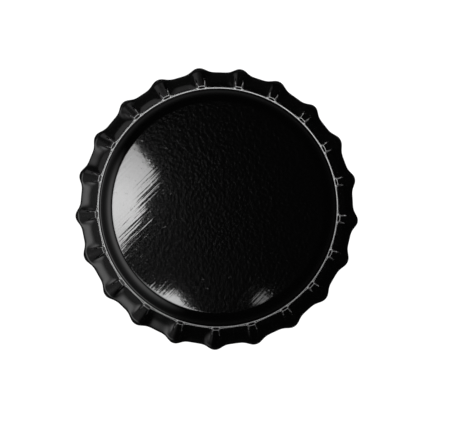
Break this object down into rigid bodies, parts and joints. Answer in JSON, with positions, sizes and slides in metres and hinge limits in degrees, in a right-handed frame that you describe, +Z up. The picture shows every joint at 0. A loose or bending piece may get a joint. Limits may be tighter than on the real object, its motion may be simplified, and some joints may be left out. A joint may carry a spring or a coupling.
{
  "type": "crown bottle cap",
  "caption": "Pressed crown cap with a rounded shoulder, a fluted flaring skirt and a moulded sealing liner; it crimps over a bottle's lip.",
  "frame": {"origin": "on the cap's axis, at the level of the skirt's bottom edge on which the cap stands", "axes": "+Z up along the cap's axis, from the mouth to the panel; -Y through the crest of a tooth"},
  "size_m": [0.032, 0.032, 0.006],
  "materials": {
    "lacquered_tinplate": "gloss",
    "sealing_compound": "satin"
  },
  "bodies": {
    "root": {"shell": "lacquered_tinplate", "liner": "sealing_compound"}
  },
  "joints": []
}
